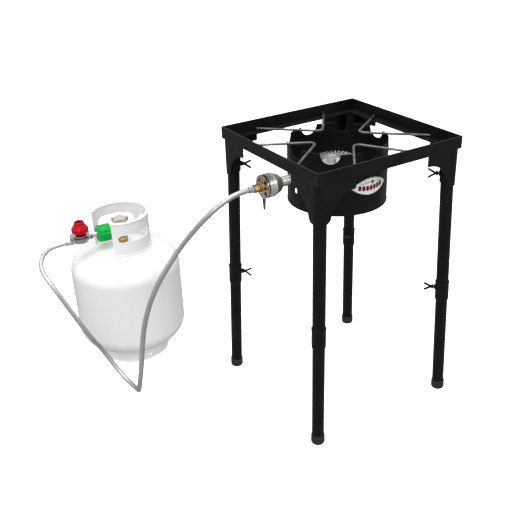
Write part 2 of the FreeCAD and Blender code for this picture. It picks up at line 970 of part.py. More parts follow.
def tank_shell():
    """A pressure vessel: a short cylinder between two dished heads, with a hole for the valve."""
    radius, wall, neck = cell("tank_radius"), cell("tank_wall"), cell("neck_radius")
    low, high = cell("tank_low"), cell("tank_high")
    crown, knuckle = cell("head_crown"), cell("head_knuckle")
    bottom_centre, bottom_tangent = head_profile(0, low, -1)
    top_centre, top_tangent = head_profile(0, high, 1)
    _, bottom_inside = head_profile(wall, low, -1)
    _, top_inside = head_profile(wall, high, 1)
    rise = root(crown * crown - neck * neck)
    rise_inside = root((crown - wall) * (crown - wall) - neck * neck)
    profile = [
        (0, bottom_centre - crown, crown, False),
        (*bottom_tangent, knuckle, False),
        (radius, low),
        (radius, high, knuckle, False),
        (*top_tangent, crown, False),
        (neck, top_centre + rise),
        (neck, top_centre + rise_inside, crown - wall, True),
        (*top_inside, knuckle - wall, True),
        (radius - wall, high),
        (radius - wall, low, knuckle - wall, True),
        (*bottom_inside, crown - wall, True),
        (0, bottom_centre - crown + wall),
    ]
    keep(turned("tank_turned", profile), "tank_shell", tank_place())


def tank_collar():
    """The valve guard: a rolled-edge wall, open towards the hose, with two hand holes and one behind."""
    outer, wall, top = cell("collar_radius"), cell("collar_wall"), cell("collar_top")
    crown = cell("head_crown")
    centre, _ = head_profile(0, cell("tank_high"), 1)
    inner = outer - wall
    middle = outer - wall / 2
    neck = root(16 - wall * wall / 4)
    profile = [
        (inner, centre + root(crown * crown - inner * inner) + 0.2),
        (outer, centre + root(crown * crown - outer * outer) + 0.2),
        (outer, top - 4 - neck, 4, False),
        (middle + 4, top - 4, 4, False),
        (middle, top, 4, False),
        (middle - 4, top - 4, 4, False),
        (inner, top - 4 - neck),
    ]
    wall_body = turned("collar_wall_body", profile, 360 - cell("collar_opening"))
    place(wall_body, rotation=about_z(-129))
    tools = []
    high, middle_height = cell("handhold_height"), cell("handhold_middle")
    windows = (
        ("left", 82, cell("handhold_width"), high, middle_height),
        ("right", -79.5, cell("low_hole_width"), cell("low_hole_height"), cell("low_hole_middle")),
        ("back", 3, cell("back_hole_width"), high, middle_height),
    )
    for name, azimuth, window_width, window_height, level in windows:
        outline = slot_outline(window_width, window_height)
        window = plate(f"collar_window_{name}", outline, 70)
        out = about_z(azimuth)
        base = out.multVec(V(30, 0, 0))
        turn = out * about_z(90) * UPRIGHT
        place(window, base.x, base.y, level, turn)
        tools.append(window)
    keep(cut("collar_cut", wall_body, *tools), "tank_collar", tank_place())


def foot_ring():
    """The ring that the cylinder stands on, with three drain holes."""
    outer, wall = cell("foot_radius"), cell("foot_wall")
    crown = cell("head_crown")
    centre, _ = head_profile(0, cell("tank_low"), -1)
    inner = outer - wall
    profile = [
        (inner, 0),
        (outer + 2.4, 0),
        (outer + 2.4, 3),
        (outer, 5.5),
        (outer, centre - root(crown * crown - outer * outer) - 0.2),
        (inner, centre - root(crown * crown - inner * inner) - 0.2),
    ]
    ring = turned("foot_turned", profile)
    tools = []
    for i in range(3):
        out = about_z(-86 + 120 * i)
        base = out.multVec(V(number(outer) - 12, 0, 0))
        hole = plate(f"foot_hole_{i}", slot_outline(14, 8), 20)
        tools.append(place(hole, base.x, base.y, 12, out * about_z(90) * UPRIGHT))
    keep(cut("foot_cut", ring, *tools), "foot_ring", tank_place())


# ---------------------------------------------------------------- valve and regulator


def gas_place():
    return tank_place(SIZES["valve_turn"])


def valve_body():
    """The brass valve: neck, outlet towards the regulator, relief valve behind, stem on top."""
    height = cell("valve_height")
    neck = cell("neck_radius")
    profile = [
        (0, 346),
        (neck, 346),
        (neck, 358),
        (16.5, 358),
        (16.5, 366),
        (14, 368),
        (15, height + 9),
        (11, height + 12),
        (11, height + 20),
        (cell("stem_radius"), height + 20),
        (cell("stem_radius"), height + 31),
        (0, height + 31),
    ]
    column = turned("valve_column", profile)
    outlet = rod("valve_outlet", cell("outlet_radius"), 49)
    place(outlet, z=height, rotation=TO_LEFT)
    relief = rod("valve_relief", 8, 26)
    place(relief, z=height - 2, rotation=Rotation(V(0, 1, 0), 90))
    bleeder = rod("valve_bleeder", 3, 22)
    place(bleeder, z=height - 6, rotation=Rotation(V(0, 0, 1), V(0, -1, 0)))
    solid = fuse("valve_solid", column, outlet, relief, bleeder)
    bore = place(rod("valve_bore", 9, 30), x=-30, z=height, rotation=TO_LEFT)
    keep(cut("valve_cut", solid, bore), "valve_body", gas_place())


def valve_handwheel():
    """A five-lobed wheel on the valve's stem."""
    radius = cell("wheel_radius")
    bore = cell("stem_radius") + cell("running_gap")
    base = cell("valve_height") + 22
    profile = [
        (0, 10),
        (bore, 10),
        (bore, 0),
        (radius - 2, 0),
        (radius, 3),
        (radius, 11),
        (radius - 3, 13),
        (0, 14),
    ]
    blank = place(turned("wheel_blank", profile), z=base)
    tools = []
    for i in range(5):
        out = about_z(36 + 72 * i).multVec(V(number(radius) + 4, 0, 0))
        tools.append(place(rod(f"wheel_scallop_{i}", 12, 20), out.x, out.y, base - 2))
    keep(cut("wheel_cut", blank, *tools), "valve_handwheel", gas_place())


def coupling_nut():
    """The hand-tightened nut that draws the regulator's nipple into the valve."""
    near, far, radius = cell("nut_near"), cell("nut_far"), cell("nut_radius")
    length = far - near
    bore = cell("outlet_radius") + 1
    hole = cell("nipple_radius") + cell("running_gap")
    profile = [
        (bore, 0),
        (radius - 1.5, 0),
        (radius, 1.5),
        (radius, length - 6),
        (radius - 6, length),
        (hole, length),
        (hole, length - 6),
        (bore, length - 6),
    ]
    blank = turned("nut_blank", profile)
    tools = []
    for i in range(8):
        out = about_z(22.5 + 45 * i).multVec(V(number(radius) + 2.5, 0, 0))
        tools.append(place(rod(f"nut_groove_{i}", 4.5, 40), out.x, out.y, -2))
    nut = cut("nut_cut", blank, *tools)
    seat = Placement(V(-number(near), 0, SIZES["valve_height"]), TO_LEFT)
    keep(nut, "coupling_nut", gas_place() * seat)


def inlet_nipple():
    """The tube from the regulator into the valve, with a nose held by the nut."""
    radius = cell("nipple_radius")
    start = 50
    length = cell("regulator_reach") - cell("flange_radius") - 2 - start
    profile = [
        (3, 0),
        (7, 0),
        (13, 6),
        (13, 11),
        (radius, 11),
        (radius, length),
        (3, length),
    ]
    item = turned("nipple_turned", profile)
    seat = Placement(V(-start, 0, SIZES["valve_height"]), TO_LEFT)
    keep(item, "inlet_nipple", gas_place() * seat)


def regulator_body():
    """The regulator's casting: a round chamber with a grooved flange, an inlet and an outlet."""
    reach, radius = cell("regulator_reach"), cell("regulator_radius")
    height, flange = cell("valve_height"), cell("flange_radius")
    profile = [
        (0, height - 14),
        (radius - 4, height - 14),
        (radius, height - 9),
        (radius, height + 0.5),
        (flange, height + 1),
        (flange, height + 4),
        (flange - 1, height + 4.3),
        (flange - 1, height + 4.7),
        (flange, height + 5),
        (flange, height + 8),
        (0, height + 8),
    ]
    chamber = place(turned("chamber", profile), x=-reach)
    inlet = rod("chamber_inlet", 11, flange + 2 - radius)
    place(inlet, x=flange + 2 - reach, z=height, rotation=TO_LEFT)
    outlet = rod("chamber_outlet", 9.5, 28)
    place(outlet, x=-reach, z=cell("outlet_height"), rotation=TO_LEFT)
    item = fuse("chamber_solid", chamber, inlet, outlet)
    keep(item, "regulator_body", gas_place())


def regulator_bonnet():
    """The low dome over the spring, closed on top."""
    base = cell("valve_height") + 8
    radius = cell("regulator_radius") - 1
    profile = [(0, 0), (radius, 0), (radius, 1.2), (17, 3.5), (0, 3.5)]
    item = place(turned("bonnet_turned", profile), z=base)
    seat = Placement(V(-SIZES["regulator_reach"], 0, 0), Rotation())
    keep(item, "regulator_bonnet", gas_place() * seat)


def regulator_knob():
    """The fluted knob that sets the pressure, with a hollow ring on top."""
    base = cell("valve_height") + 12.3
    profile = [
        (0, 0),
        (13, 0),
        (13, 3),
        (23, 7),
        (24, 9),
        (24, 17),
        (20, 23),
        (15.5, 28),
        (14, 36),
        (11.5, 36),
        (11.5, 28),
        (0, 28),
    ]
    blank = place(turned("knob_blank", profile), z=base)
    tools = []
    for i in range(12):
        out = about_z(30 * i).multVec(V(26.5, 0, 0))
        tools.append(place(rod(f"knob_flute_{i}", 4, 40), out.x, out.y, base - 2))
    knob = cut("knob_cut", blank, *tools)
    seat = Placement(V(-SIZES["regulator_reach"], 0, 0), Rotation())
    keep(knob, "regulator_knob", gas_place() * seat)


# ---------------------------------------------------------------- the whole set


def build():
    for corner_index in range(4):
        rail(corner_index)
        bracket(corner_index)
        sleeve(corner_index)
        upper_leg(corner_index)
        lower_leg(corner_index)
        foot_cap(corner_index)
        wing_screw("upper_wing_screw", corner_index, cell("upper_screw_height"), 98)
        wing_screw("lower_wing_screw", corner_index, cell("lower_screw_height"), 80)
        grate_wire(corner_index)
    wind_guard()
    badge()
    burner_cup()
    burner_strap()
    burner_bolt()
    burner_nut()
    mixing_tube()
    air_shutter()
    shutter_lever()
    orifice_fitting()
    flare_nut()
    hose()
    hose_ends()
    tank_shell()
    tank_collar()
    foot_ring()
    valve_body()
    valve_handwheel()
    coupling_nut()
    inlet_nipple()
    regulator_body()
    regulator_bonnet()
    regulator_knob()


def check_cut(item):
    """Every tool of a cut has to take something off."""
    tools = item.Tool.Links if item.Tool.TypeId == "Part::Compound" else [item.Tool]
    for tool in tools:
        if item.Base.Shape.common(tool.Shape).Volume < 1:
            raise ValueError(f"{tool.Label} cuts nothing from {item.Label}")


def check():
    for item in doc.Objects:
        if "Invalid" in item.State or "Error" in item.State:
            raise ValueError(f"{item.Label} failed: {item.State}")
        if item.TypeId == "Part::Cut":
            check_cut(item)
    for item, label, _ in finished:
        if item.Shape.isNull() or not item.Shape.isValid():
            raise ValueError(f"{label} has no valid shape")
        print(f"{label}: {len(item.Shape.Solids)} solid, {item.Shape.Volume:.0f} mm3")


def write():
    os.makedirs("parts", exist_ok=True)
    for item, label, _ in finished:
        item.Shape.exportStep(f"parts/{label}.step")


def set_places():
    """Moves each finished sub-part from the stand's or cylinder's own frame to the set's."""
    for item, _, placement in finished:
        own = item.Placement
        for axis in "xyz":
            item.setExpression(f"Placement.Base.{axis}", None)
        item.Placement = placement * own


fill_sheet()
build()
doc.recompute()
set_places()
doc.recompute()
check()
write()
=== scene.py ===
import json
import math

import bmesh
import bpy
from mathutils import Matrix, Vector


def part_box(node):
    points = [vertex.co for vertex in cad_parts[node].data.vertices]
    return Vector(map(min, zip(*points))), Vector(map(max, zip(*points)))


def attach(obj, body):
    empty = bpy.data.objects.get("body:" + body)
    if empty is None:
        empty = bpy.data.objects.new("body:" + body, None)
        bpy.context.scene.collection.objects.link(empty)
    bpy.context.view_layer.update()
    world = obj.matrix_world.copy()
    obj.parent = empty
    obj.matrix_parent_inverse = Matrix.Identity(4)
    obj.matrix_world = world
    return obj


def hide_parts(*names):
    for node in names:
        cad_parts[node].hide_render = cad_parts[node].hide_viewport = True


# The looks of an outdoor gas cooking set: a square black burner stand, a braided hose with a
# regulator, and a white gas cylinder. Metres, in the CAD frame.

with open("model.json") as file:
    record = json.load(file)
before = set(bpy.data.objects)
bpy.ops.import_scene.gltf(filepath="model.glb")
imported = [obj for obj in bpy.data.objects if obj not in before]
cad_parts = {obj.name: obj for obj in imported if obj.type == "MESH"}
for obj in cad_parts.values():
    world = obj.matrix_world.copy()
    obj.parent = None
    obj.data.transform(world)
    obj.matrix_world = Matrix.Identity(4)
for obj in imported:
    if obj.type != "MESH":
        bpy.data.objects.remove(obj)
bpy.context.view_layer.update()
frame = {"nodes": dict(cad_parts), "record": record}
scene = bpy.context.scene

# ---------------------------------------------------------------- places


def middle_of(node):
    """The point on the floor under the middle of a node."""
    low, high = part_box(node)
    return Vector(((low.x + high.x) / 2, (low.y + high.y) / 2, 0))


STAND = middle_of("wind_guard")
TANK = middle_of("tank_shell")

# ---------------------------------------------------------------- camera and hose

CAMERA_PLACE = Vector((-1.0620, -1.3961, 1.2894))  # from the stand's centre on the floor
CAMERA_AZIMUTH = math.radians(-30.712)
CAMERA_ELEVATION = math.radians(27.599)
CAMERA_ROLL = math.radians(-2.223)
CAMERA_LENS = 51.672  # millimetres, on a 36 mm sensor

HOSE_DIAMETER = 0.013
HOSE_ROUTE = [
    (-0.256, 0.000, 0.630),
    (-0.289, 0.000, 0.630),
    (-0.330, 0.004, 0.612),
    (-0.362, 0.027, 0.576),
    (-0.383, 0.060, 0.531),
    (-0.405, 0.090, 0.484),
    (-0.432, 0.109, 0.434),
    (-0.455, 0.130, 0.383),
    (-0.474, 0.149, 0.325),
    (-0.489, 0.164, 0.261),
    (-0.498, 0.172, 0.201),
    (-0.508, 0.171, 0.140),
    (-0.522, 0.175, 0.060),
    (-0.503, 0.239, 0.008),
    (-0.519, 0.324, 0.021),
    (-0.551, 0.357, 0.098),
    (-0.577, 0.341, 0.148),
    (-0.602, 0.345, 0.204),
    (-0.627, 0.361, 0.265),
    (-0.649, 0.378, 0.321),
    (-0.662, 0.421, 0.352),
    (-0.654, 0.455, 0.368),
    (-0.633, 0.480, 0.379),
    (-0.6009, 0.4936, 0.385),
    (-0.566, 0.4902, 0.385),
]


def add_object(name, data):
    item = bpy.data.objects.new(name, data)
    scene.collection.objects.link(item)
    return item


def make_camera():
    back = Vector(
        (
            math.sin(CAMERA_AZIMUTH) * math.cos(CAMERA_ELEVATION),
            -math.cos(CAMERA_AZIMUTH) * math.cos(CAMERA_ELEVATION),
            math.sin(CAMERA_ELEVATION),
        )
    )
    level_right = Vector((0, 0, 1)).cross(back).normalized()
    level_up = back.cross(level_right)
    turn, lift = math.cos(CAMERA_ROLL), math.sin(CAMERA_ROLL)
    right = turn * level_right + lift * level_up
    up = turn * level_up - lift * level_right
    data = bpy.data.cameras.new("camera")
    data.sensor_width = 36
    data.lens = CAMERA_LENS
    data.clip_start, data.clip_end = 0.05, 60
    camera = add_object("camera", data)
    camera.rotation_mode = "QUATERNION"
    camera.location = STAND + CAMERA_PLACE
    camera.rotation_quaternion = Matrix((right, up, back)).transposed().to_quaternion()
    scene.camera = camera


make_camera()


def point_on_set(point):
    return STAND + Vector(point)


def spline_points(route):
    """The smooth line of a route: a NURBS curve, read back as points along it."""
    curve = bpy.data.curves.new("hose_line", "CURVE")
    curve.dimensions = "3D"
    curve.resolution_u = 24
    spline = curve.splines.new("NURBS")
    spline.points.add(len(route) - 1)
    for target, point in zip(spline.points, route):
        target.co = (*point_on_set(point), 1)
    spline.order_u = 3
    spline.use_endpoint_u = True
    holder = bpy.data.objects.new("hose_line", curve)
    scene.collection.objects.link(holder)
    bpy.context.view_layer.update()
    evaluated = holder.evaluated_get(bpy.context.evaluated_depsgraph_get())
    mesh = bpy.data.meshes.new_from_object(evaluated)
    points = [v.co.copy() for v in mesh.vertices]
    bpy.data.objects.remove(holder)
    bpy.data.meshes.remove(mesh)
    return points


def path_length(points):
    return sum((b - a).length for a, b in zip(points, points[1:]))


def resample(points, step):
    """Points a fixed step apart along a line."""
    length = path_length(points)
    count = max(2, round(length / step))
    spacing = length / count
    made = [points[0].copy()]
    walked, target = 0.0, spacing
    for a, b in zip(points, points[1:]):
        run = (b - a).length
        while target <= walked + run + 1e-9 and len(made) <= count:
            made.append(a.lerp(b, (target - walked) / run))
            target += spacing
        walked += run
    if len(made) <= count:
        made.append(points[-1].copy())
    made[-1] = points[-1].copy()
    return made


def frames_along(points):
    """A steady (tangent, side, up) frame at each point, turned as little as possible."""
    tangents = []
    for i in range(len(points)):
        before, after = points[max(i - 1, 0)], points[min(i + 1, len(points) - 1)]
        tangents.append((after - before).normalized())
    side = tangents[0].orthogonal().normalized()
    frames = []
    for tangent in tangents:
        side = (side - tangent * side.dot(tangent)).normalized()
        frames.append((tangent, side, tangent.cross(side)))
    return frames


def tube_mesh(name, points, radius, sides=24):
    """A round tube whose UV runs along its length (metres) and round it (0 to 1)."""
    frames = frames_along(points)
    mesh = bmesh.new()
    uv = mesh.loops.layers.uv.new("UVMap")
    rings = []
    for point, (_, side, up) in zip(points, frames):
        ring = []
        for i in range(sides):
            angle = 2 * math.pi * i / sides
            ring.append(mesh.verts.new(point + radius * (math.cos(angle) * side + math.sin(angle) * up)))
        rings.append(ring)
    walked = [0.0]
    for a, b in zip(points, points[1:]):
        walked.append(walked[-1] + (b - a).length)
    for j in range(len(points) - 1):
        for i in range(sides):
            k = (i + 1) % sides
            face = mesh.faces.new((rings[j][i], rings[j][k], rings[j + 1][k], rings[j + 1][i]))
            face.smooth = True
            corners = ((walked[j], i), (walked[j], i + 1), (walked[j + 1], i + 1), (walked[j + 1], i))
            for loop, (along, turn) in zip(face.loops, corners):
                loop[uv].uv = (along, turn / sides)
    for ring, flip in ((rings[0], True), (rings[-1], False)):
        mesh.faces.new(reversed(ring) if flip else ring)
    data = bpy.data.meshes.new(name)
    mesh.to_mesh(data)
    mesh.free()
    return data


# ---------------------------------------------------------------- materials


class Nodes:
    """A small helper for building a material's node tree."""

    def __init__(self, name, colour, roughness, metallic=0.0):
        self.material = bpy.data.materials.new(name)
        self.material.use_nodes = True
        self.tree = self.material.node_tree
        self.shader = self.tree.nodes["Principled BSDF"]
        self.shader.inputs["Base Color"].default_value = (*colour, 1)
        self.shader.inputs["Roughness"].default_value = roughness
        self.shader.inputs["Metallic"].default_value = metallic
        self.place = self.add("ShaderNodeTexCoord").outputs["Object"]
        self.normal = None

    def add(self, kind, **values):
        node = self.tree.nodes.new(kind)
        for name, value in values.items():
            setattr(node, name, value)
        return node

    def link(self, source, target):
        self.tree.links.new(source, target)

    def math(self, operation, first, second=None):
        node = self.add("ShaderNodeMath", operation=operation)
        for socket, value in zip(node.inputs, (first, second)):
            if value is None:
                continue
            if isinstance(value, (int, float)):
                socket.default_value = value
            else:
                self.link(value, socket)
        return node.outputs[0]

    def noise(self, scale, detail=3.0, stretch=(1, 1, 1), rough=0.5):
        mapping = self.add("ShaderNodeMapping")
        mapping.inputs["Scale"].default_value = stretch
        self.link(self.place, mapping.inputs["Vector"])
        node = self.add("ShaderNodeTexNoise")
        node.inputs["Scale"].default_value = scale
        node.inputs["Detail"].default_value = detail
        node.inputs["Roughness"].default_value = rough
        self.link(mapping.outputs[0], node.inputs["Vector"])
        return node.outputs["Fac"]

    def ramp(self, value, *stops):
        node = self.add("ShaderNodeValToRGB")
        ramp = node.color_ramp
        while len(ramp.elements) < len(stops):
            ramp.elements.new(0.5)
        for element, (place, colour) in zip(ramp.elements, stops):
            element.position = place
            element.color = (*colour, 1) if len(colour) == 3 else colour
        self.link(value, node.inputs["Fac"])
        return node.outputs["Color"]

    def spread(self, value, low, high):
        node = self.add("ShaderNodeMapRange")
        self.link(value, node.inputs["Value"])
        node.inputs["From Min"].default_value = 0.3
        node.inputs["From Max"].default_value = 0.7
        node.inputs["To Min"].default_value = low
        node.inputs["To Max"].default_value = high
        return node.outputs["Result"]

    def colour(self, value, *stops):
        self.link(self.ramp(value, *stops), self.shader.inputs["Base Color"])

    def roughness(self, value, low, high):
        self.link(self.spread(value, low, high), self.shader.inputs["Roughness"])

    def bump(self, height, strength, distance):
        node = self.add("ShaderNodeBump")
        node.inputs["Strength"].default_value = strength
        node.inputs["Distance"].default_value = distance
        self.link(height, node.inputs["Height"])
        if self.normal is not None:
            self.link(self.normal, node.inputs["Normal"])
        self.normal = node.outputs["Normal"]
        self.link(self.normal, self.shader.inputs["Normal"])


def shade(colour, factor):
    return tuple(min(1.0, c * factor) for c in colour)


def powder_coat(name, colour, roughness=0.42):
    made = Nodes(name, colour, roughness)
    made.shader.inputs["Specular IOR Level"].default_value = 0.11
    clouds = made.noise(14, 4)
    made.colour(clouds, (0.35, shade(colour, 0.8)), (0.7, shade(colour, 1.35)))
    made.roughness(made.noise(55, 3), roughness - 0.06, roughness + 0.08)
    made.bump(made.noise(900, 2), 0.18, 0.0004)
    made.bump(made.noise(160, 2), 0.08, 0.0006)
    return made.material


def cast_metal(name, colour, roughness, metallic):
    made = Nodes(name, colour, roughness, metallic)
    clouds = made.noise(60, 5)
    made.colour(clouds, (0.3, shade(colour, 0.75)), (0.75, shade(colour, 1.2)))
    made.roughness(made.noise(220, 3), roughness - 0.08, roughness + 0.12)
    made.bump(made.noise(480, 4, rough=0.65), 0.35, 0.0006)
    return made.material


def turned_metal(name, colour, roughness, stretch):
    """Machined metal: fine lines run across the direction in which the noise is stretched."""
    made = Nodes(name, colour, roughness, 1.0)
    lines = made.noise(300, 2, stretch)
    made.colour(made.noise(40, 3), (0.3, shade(colour, 0.85)), (0.7, shade(colour, 1.1)))
    made.roughness(lines, roughness - 0.05, roughness + 0.12)
    made.bump(lines, 0.12, 0.0002)
    return made.material


def gloss_paint(name, colour, roughness=0.22):
    made = Nodes(name, colour, roughness)
    made.shader.inputs["Coat Weight"].default_value = 0.35
    made.shader.inputs["Coat Roughness"].default_value = 0.12
    made.colour(made.noise(7, 4), (0.3, shade(colour, 0.985)), (0.7, colour))
    made.roughness(made.noise(30, 3), roughness, roughness + 0.03)
    made.bump(made.noise(260, 2), 0.03, 0.0003)
    return made.material


def moulded_plastic(name, colour, roughness=0.3):
    made = Nodes(name, colour, roughness)
    made.shader.inputs["Specular IOR Level"].default_value = 0.14
    made.colour(made.noise(90, 3), (0.3, shade(colour, 0.85)), (0.7, shade(colour, 1.12)))
    made.roughness(made.noise(260, 3), roughness - 0.06, roughness + 0.1)
    made.bump(made.noise(700, 2), 0.1, 0.0003)
    return made.material


def rubber(name, colour):
    made = Nodes(name, colour, 0.7)
    made.colour(made.noise(120, 4), (0.3, shade(colour, 0.7)), (0.7, shade(colour, 1.6)))
    made.roughness(made.noise(300, 3), 0.6, 0.85)
    made.bump(made.noise(900, 3), 0.25, 0.0004)
    return made.material


def braid(name, colour):
    """Crossing bands of bright wire: two families of ridges run round the hose in a diagonal weave."""
    made = Nodes(name, colour, 0.28, 1.0)
    coordinates = made.add("ShaderNodeTexCoord").outputs["UV"]
    split = made.add("ShaderNodeSeparateXYZ")
    made.link(coordinates, split.inputs[0])
    along = made.math("MULTIPLY", split.outputs["X"], 1 / 0.034)
    turn = split.outputs["Y"]
    bands = 12
    wires = 6

    def family(sign):
        lean = made.math("MULTIPLY", along, sign)
        return made.math("ADD", turn, lean)

    right, left = family(1), family(-1)
    over_right = made.math("SINE", made.math("MULTIPLY", right, 2 * math.pi * bands))
    over_left = made.math("SINE", made.math("MULTIPLY", left, 2 * math.pi * bands))
    right_on_top = made.math("GREATER_THAN", made.math("MULTIPLY", over_right, over_left), 0.0)
    ridges = math.pi * bands * wires
    right_wires = made.math("ABSOLUTE", made.math("SINE", made.math("MULTIPLY", right, ridges)))
    left_wires = made.math("ABSOLUTE", made.math("SINE", made.math("MULTIPLY", left, ridges)))
    pick = made.add("ShaderNodeMix")
    made.link(right_on_top, pick.inputs[0])
    made.link(left_wires, pick.inputs[2])
    made.link(right_wires, pick.inputs[3])
    wires_height = pick.outputs[0]
    crown = made.math("MAXIMUM", made.math("ABSOLUTE", over_right), made.math("ABSOLUTE", over_left))
    height = made.math("ADD", wires_height, made.math("MULTIPLY", crown, 0.8))
    # The colour follows the weave's height: painted shade darkens the hollows between the wires, and a
    # painted highlight brightens the wire tops and crossings.
    made.colour(height, (0.12, shade(colour, 0.16)), (0.7, shade(colour, 0.8)), (1.0, shade(colour, 1.45)))
    made.bump(height, 0.35, 0.0004)
    return made.material


def steel_wire(name, colour):
    """Drawn steel wire with a thin dark finish: faint draw marks and worn highlights."""
    made = Nodes(name, colour, 0.34, 0.85)
    made.colour(made.noise(45, 5), (0.35, shade(colour, 0.7)), (0.7, shade(colour, 1.5)))
    made.roughness(made.noise(240, 3), 0.26, 0.48)
    made.bump(made.noise(700, 3), 0.2, 0.0003)
    return made.material


FINISH = {
    "black_powder": powder_coat("black_powder", (0.0045, 0.0045, 0.005)),
    "rubber": rubber("rubber", (0.006, 0.006, 0.006)),
    "screw_black": powder_coat("screw_black", (0.006, 0.006, 0.006), 0.36),
    "grate_steel": steel_wire("grate_steel", (0.11, 0.11, 0.115)),
    "badge": gloss_paint("badge_enamel", (0.80, 0.79, 0.77)),
    "cast_silver": cast_metal("cast_silver", (0.60, 0.59, 0.57), 0.30, 0.92),
    "zinc": turned_metal("zinc", (0.58, 0.58, 0.57), 0.32, (1, 1, 6)),
    "cast_black": cast_metal("cast_dark", (0.05, 0.05, 0.05), 0.5, 0.5),
    "chrome": turned_metal("chrome", (0.52, 0.50, 0.47), 0.16, (8, 1, 1)),
    "brass": turned_metal("brass", (0.45, 0.28, 0.11), 0.26, (8, 1, 1)),
    "braid": braid("braid", (0.37, 0.36, 0.375)),
    "ferrule": turned_metal("ferrule", (0.60, 0.59, 0.57), 0.28, (6, 1, 1)),
    "tank_white": gloss_paint("tank_white", (0.80, 0.80, 0.80)),
    "wheel_grey": moulded_plastic("wheel_grey", (0.40, 0.37, 0.33), 0.4),
    "nut_green": moulded_plastic("nut_green", (0.004, 0.36, 0.05), 0.24),
    "regulator_metal": cast_metal("regulator_cast", (0.48, 0.48, 0.49), 0.18, 1.0),
    "knob_red": moulded_plastic("knob_red", (0.42, 0.002, 0.012), 0.24),
}

NODE_SLOT = {piece["node"]: piece["material_slot"] for piece in frame["record"]["subparts"]}


def finish_node(node, material):
    item = frame["nodes"][node]
    if not item.material_slots:
        item.data.materials.append(material)
    for place in item.material_slots:
        place.material = material


for node, slot in NODE_SLOT.items():
    finish_node(node, FINISH[slot])


def round_edges(node, width):
    """Sheet metal and castings have no sharp edges."""
    item = frame["nodes"][node]
    bevel = item.modifiers.new("rounded", "BEVEL")
    bevel.width = width
    bevel.segments = 2
    bevel.limit_method = "ANGLE"
    bevel.angle_limit = math.radians(50)
    bevel.harden_normals = False


for i in range(4):
    round_edges(f"rail_{i}", 0.0012)
    round_edges(f"corner_bracket_{i}", 0.0008)
round_edges("shutter_lever", 0.0006)
round_edges("valve_handwheel", 0.0012)


def add_piece(name, data, body, slot, material=None):
    """A new piece in its place: it takes a finish and rides on a body."""
    if not data.materials:
        data.materials.append(material or FINISH[slot])
    piece = add_object(name, data)
    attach(piece, body)
    return piece


# ---------------------------------------------------------------- hose


def make_hose():
    line = spline_points(HOSE_ROUTE)
    points = resample(line, 0.003)
    hose = add_piece("braided_hose", tube_mesh("braided_hose", points, HOSE_DIAMETER / 2, 32), "set", "braid")
    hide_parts("hose")


make_hose()

# ---------------------------------------------------------------- shapes for the smaller pieces


def bead_mesh(name, points, radius, pitch=0.0, closed=False, sides=10):
    """A weld bead or a rounded rim along a line; a pitch makes the ripples of a weld."""
    frames = frames_along(points)
    mesh = bmesh.new()
    walked = 0.0
    rings = []
    for j, (point, (_, side, up)) in enumerate(zip(points, frames)):
        if j:
            walked += (point - points[j - 1]).length
        swell = 1.0
        if pitch:
            swell += 0.16 * abs(math.sin(math.pi * walked / pitch)) + 0.06 * math.sin(walked * 410)
        if not closed and j in (0, len(points) - 1):
            swell *= 0.45
        ring = []
        for i in range(sides):
            angle = 2 * math.pi * i / sides
            outward = math.cos(angle) * side + math.sin(angle) * up
            ring.append(mesh.verts.new(point + radius * swell * outward))
        rings.append(ring)
    pairs = list(zip(rings, rings[1:]))
    if closed:
        pairs.append((rings[-1], rings[0]))
    for first, second in pairs:
        for i in range(sides):
            k = (i + 1) % sides
            mesh.faces.new((first[i], first[k], second[k], second[i])).smooth = True
    if not closed:
        mesh.faces.new(reversed(rings[0]))
        mesh.faces.new(rings[-1])
    bmesh.ops.recalc_face_normals(mesh, faces=mesh.faces)
    data = bpy.data.meshes.new(name)
    mesh.to_mesh(data)
    mesh.free()
    return data


def arc(centre, radius, height, start, end, step=0.0015):
    """Points on a level arc; the angles are in degrees."""
    count = max(8, int(abs(math.radians(end - start)) * radius / step))
    made = []
    for i in range(count + 1):
        angle = math.radians(start + (end - start) * i / count)
        made.append(centre + Vector((radius * math.cos(angle), radius * math.sin(angle), height)))
    return made


# ---------------------------------------------------------------- cylinder welds

CROWN = 0.283  # the dished ends' large radius
KNUCKLE = 0.053  # their small radius at the wall
TANK_RADIUS = 0.157
UPPER_SEAM = 0.277  # where the wall meets the upper end
LOWER_SEAM = 0.100
COLLAR_RADIUS = 0.081
FOOT_RADIUS = 0.0986


def head_height(reach, seam, sign):
    """Height of the dished end at a distance from the cylinder's centre line."""
    inner = CROWN - KNUCKLE
    offset = TANK_RADIUS - KNUCKLE
    centre = seam - sign * math.sqrt(inner * inner - offset * offset)
    return centre + sign * math.sqrt(CROWN * CROWN - reach * reach)


def make_cylinder_welds():
    top = head_height(COLLAR_RADIUS, UPPER_SEAM, 1)
    bead = arc(TANK, COLLAR_RADIUS + 0.0008, top + 0.0012, -127, 142)
    add_piece("collar_weld", bead_mesh("collar_weld", bead, 0.0022, 0.0042), "set", "tank_white")
    low = head_height(FOOT_RADIUS, LOWER_SEAM, -1)
    bead = arc(TANK, FOOT_RADIUS + 0.0008, low - 0.0012, 0, 360)[:-1]
    data = bead_mesh("foot_weld", bead, 0.0022, 0.0042, closed=True)
    add_piece("foot_weld", data, "set", "tank_white")


make_cylinder_welds()

# ---------------------------------------------------------------- stand details


def corners_of_stand():
    for i in range(4):
        yield i, Matrix.Rotation(math.radians(90 * i), 3, "Z")


def make_grate_welds():
    """The tack welds that hold each wire's ends on the rails."""
    steps = 14
    for i, turn in corners_of_stand():
        for side, letter in ((-1, "a"), (1, "b")):
            name = f"grate_weld_{i}_{letter}"
            start = STAND + turn @ Vector((side * 0.1035, -0.1995, 0.6960))
            end = STAND + turn @ Vector((side * 0.1000, -0.1840, 0.6965))
            line = [start.lerp(end, t / steps) for t in range(steps + 1)]
            add_piece(name, bead_mesh(name, line, 0.0028, 0.003), "set", "black_powder")


# ---------------------------------------------------------------- badge

